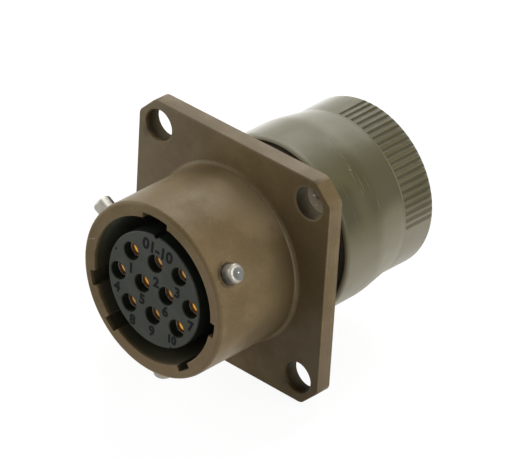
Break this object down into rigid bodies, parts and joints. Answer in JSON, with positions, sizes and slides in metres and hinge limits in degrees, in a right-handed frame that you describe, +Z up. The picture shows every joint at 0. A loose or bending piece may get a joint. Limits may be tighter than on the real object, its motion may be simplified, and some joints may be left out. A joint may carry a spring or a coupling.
{
  "type": "bayonet circular connector",
  "caption": "Square-flange bayonet circular connector receptacle with keyed front barrel, socket contacts in a round insert and a screwed, fluted endbell.",
  "frame": {"origin": "on the connector's axis, in the rear face of the square flange, which lies on the panel", "axes": "+Y runs along the connector's axis from the mating face to the endbell, +Z is up through the master keyway, and +X is to the right as seen from the mating side"},
  "size_m": [0.0262, 0.0323, 0.0262],
  "materials": {
    "shell_metal": "satin",
    "endbell_metal": "satin",
    "follower_metal": "satin",
    "pin_steel": "satin",
    "steel": "satin",
    "spring_alloy": "satin",
    "contact_gold": "polished",
    "hood_metal": "satin",
    "insert_face": "matte",
    "insert_body": "matte",
    "seal_rubber": "matte",
    "ring_rubber": "matte"
  },
  "bodies": {
    "receptacle": {"receptacle_shell": "shell_metal", "bayonet_pin_1": "pin_steel", "bayonet_pin_2": "pin_steel", "bayonet_pin_3": "pin_steel", "front_insulator": "insert_face", "retention_disc": "insert_body", "socket_contact_1": "contact_gold", "socket_contact_2": "contact_gold", "socket_contact_3": "contact_gold", "socket_contact_4": "contact_gold", "socket_contact_5": "contact_gold", "socket_contact_6": "contact_gold", "socket_contact_7": "contact_gold", "socket_contact_8": "contact_gold", "socket_contact_9": "contact_gold", "socket_contact_10": "contact_gold", "contact_hood_1": "hood_metal", "contact_hood_2": "hood_metal", "contact_hood_3": "hood_metal", "contact_hood_4": "hood_metal", "contact_hood_5": "hood_metal", "contact_hood_6": "hood_metal", "contact_hood_7": "hood_metal", "contact_hood_8": "hood_metal", "contact_hood_9": "hood_metal", "contact_hood_10": "hood_metal", "retention_clips": "spring_alloy", "retaining_ring": "steel", "wire_grommet": "seal_rubber", "seal_ring": "ring_rubber"},
    "follower": {"follower_ring": "follower_metal"},
    "endbell_nut": {"endbell": "endbell_metal"}
  },
  "joints": [
    {"name": "endbell_travel", "type": "slide", "parent": "receptacle", "child": "follower", "axis": [0, 1, 0], "range_m": [0, 0.00423]},
    {"name": "endbell_turn", "type": "hinge", "parent": "follower", "child": "endbell_nut", "pos_m": [0, 0.012, 0], "axis": [0, 1, 0], "range_deg": [0, 1440]}
  ],
  "couplings": [
    {"joint": "endbell_travel", "follows": "endbell_turn", "m_per_rad": 0.00016844}
  ]
}
